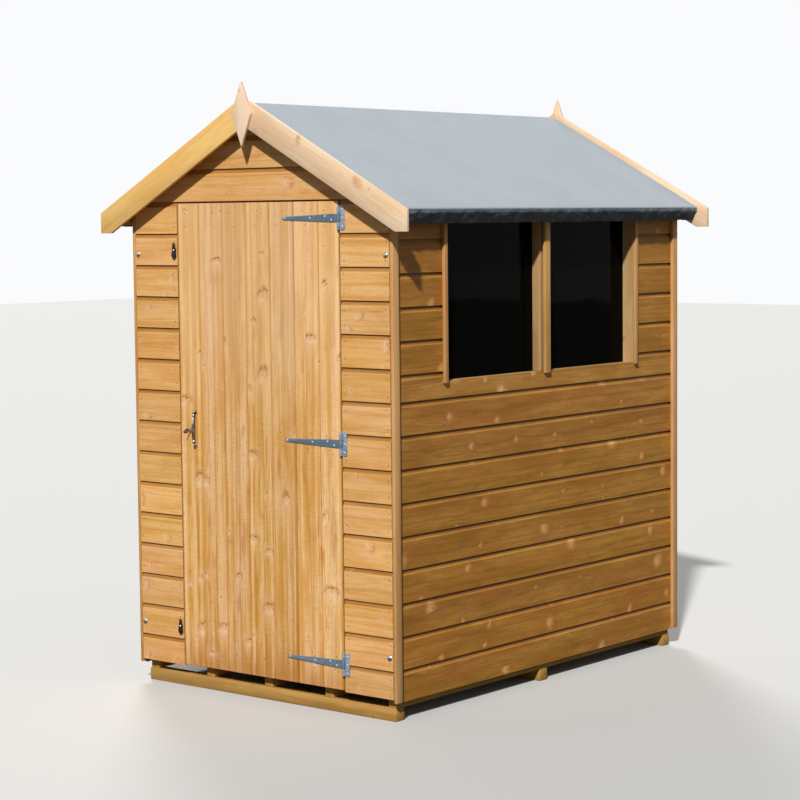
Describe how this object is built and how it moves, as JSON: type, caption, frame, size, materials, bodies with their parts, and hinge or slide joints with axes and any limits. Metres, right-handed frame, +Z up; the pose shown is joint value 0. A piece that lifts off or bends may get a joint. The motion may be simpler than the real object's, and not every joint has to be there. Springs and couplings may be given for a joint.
{
  "type": "wooden garden shed",
  "caption": "Small apex-roofed garden shed in coved shiplap boards, with a hinged boarded door, a two-pane fixed side window and a felted roof.",
  "frame": {"origin": "on the ground under the middle of the shed", "axes": "+X across the door wall towards the hinges and the window wall, +Y from the door wall to the back wall, +Z up"},
  "size_m": [1.432, 1.864, 2.1476],
  "materials": {
    "cladding_timber": "golden brown stained softwood, satin",
    "door_timber": "golden brown stained softwood, satin",
    "strip_timber": "planed stained softwood",
    "roof_trim_timber": "planed stained softwood",
    "frame_timber": "sawn softwood",
    "roof_boards": "sawn softwood",
    "floor_timber": "planed softwood",
    "base_timber": "treated sawn softwood",
    "roof_felt": "mineral roofing felt, matt grey",
    "galvanised_steel": "galvanised",
    "bright_steel": "bright plated",
    "black_steel": "black, satin",
    "window_glass": "clear"
  },
  "bodies": {
    "shed": {"bargeboards_left": "roof_trim_timber", "bargeboards_right": "roof_trim_timber", "bearers": "base_timber", "button_screws": "galvanised_steel", "corner_strips": "strip_timber", "door_head_stop": "frame_timber", "door_side_stops": "frame_timber", "door_threshold": "frame_timber", "eave_battens": "frame_timber", "finials": "roof_trim_timber", "floor_boards": "floor_timber", "floor_joists": "base_timber", "front_cladding_gable": "cladding_timber", "front_cladding_left": "cladding_timber", "front_cladding_right": "cladding_timber", "front_posts": "frame_timber", "front_rails": "frame_timber", "glazing_beads_level": "frame_timber", "glazing_beads_upright": "frame_timber", "hinge_plates": "galvanised_steel", "left_cladding": "cladding_timber", "left_rails": "frame_timber", "left_studs": "frame_timber", "purlins": "frame_timber", "rafters_left": "frame_timber", "rafters_right": "frame_timber", "rear_cladding": "cladding_timber", "rear_posts": "frame_timber", "rear_rails": "frame_timber", "right_cladding_front": "cladding_timber", "right_cladding_lower": "cladding_timber", "right_cladding_rear": "cladding_timber", "right_rails": "frame_timber", "right_studs": "frame_timber", "roof_deck_left": "roof_boards", "roof_deck_right": "roof_boards", "roof_felt_left": "roof_felt", "roof_felt_right": "roof_felt", "window_glass": "window_glass", "window_head_board": "cladding_timber", "window_strips": "strip_timber"},
    "door": {"door_boards": "door_timber", "door_ledges": "door_timber", "door_braces": "door_timber", "hinge_straps": "galvanised_steel", "door_handle": "bright_steel", "door_key": "bright_steel", "lock_case": "black_steel"},
    "upper_turn_button": {"upper_turn_button": "black_steel"},
    "lower_turn_button": {"lower_turn_button": "black_steel"}
  },
  "joints": [
    {"name": "door_hinge", "type": "hinge", "parent": "shed", "child": "door", "pos_m": [0.3805, -0.8705, 0.924], "axis": [0, 0, 1], "range_deg": [0, 135]},
    {"name": "upper_button_turn", "type": "hinge", "parent": "shed", "child": "upper_turn_button", "pos_m": [-0.394, -0.87, 1.572], "axis": [0, -1, 0], "range_deg": [0, 90]},
    {"name": "lower_button_turn", "type": "hinge", "parent": "shed", "child": "lower_turn_button", "pos_m": [-0.394, -0.87, 0.222], "axis": [0, -1, 0], "range_deg": [0, 90]}
  ]
}
